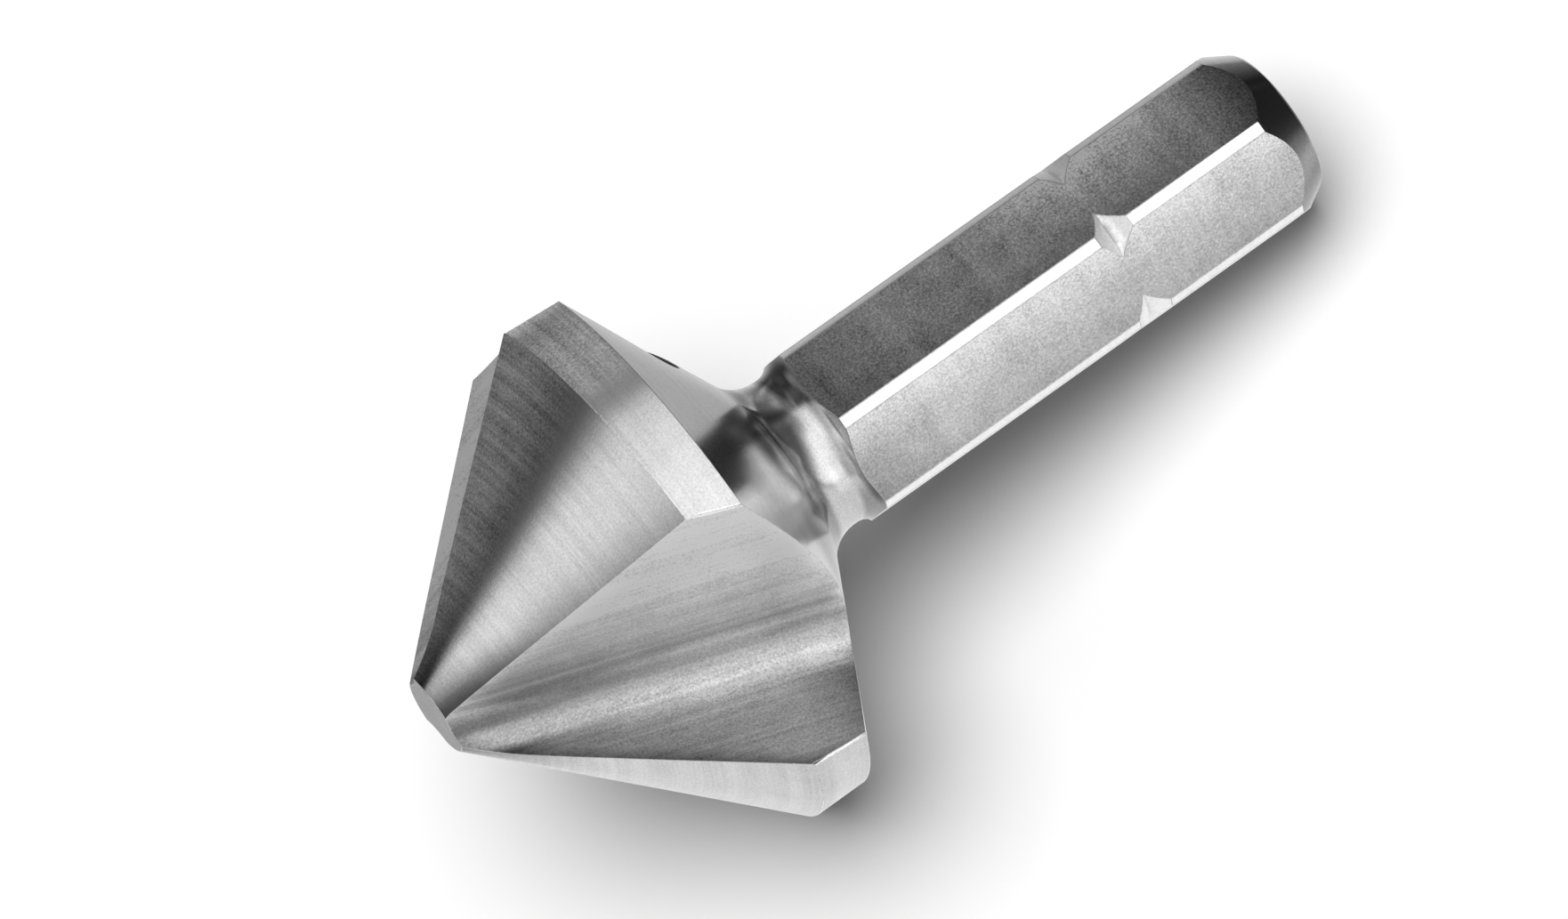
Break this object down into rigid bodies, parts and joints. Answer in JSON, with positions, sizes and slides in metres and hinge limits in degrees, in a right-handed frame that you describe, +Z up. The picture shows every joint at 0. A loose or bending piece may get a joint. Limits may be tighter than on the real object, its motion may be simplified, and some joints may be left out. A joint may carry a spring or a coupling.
{
  "type": "countersink",
  "caption": "Ninety-degree conical countersink bit of bright ground steel: fluted cone head, narrow neck and hexagon quick-change shank with notched corners, lying on its side",
  "frame": {"origin": "On the surface that the tool lies on, under the middle of its bounding box", "axes": "Z up. The tool's axis lies in the XZ plane, from the tip towards the shank's end at plus X, and drops 13.3 degrees towards the shank. One flute faces straight down."},
  "size_m": [0.0358, 0.0204, 0.0191],
  "materials": {
    "ground_steel": "bright ground high speed steel: fine grinding lines along the flutes and round the cone, satin turned neck, matt grained flats on the shank"
  },
  "bodies": {
    "root": {"countersink": "ground_steel"}
  },
  "joints": []
}
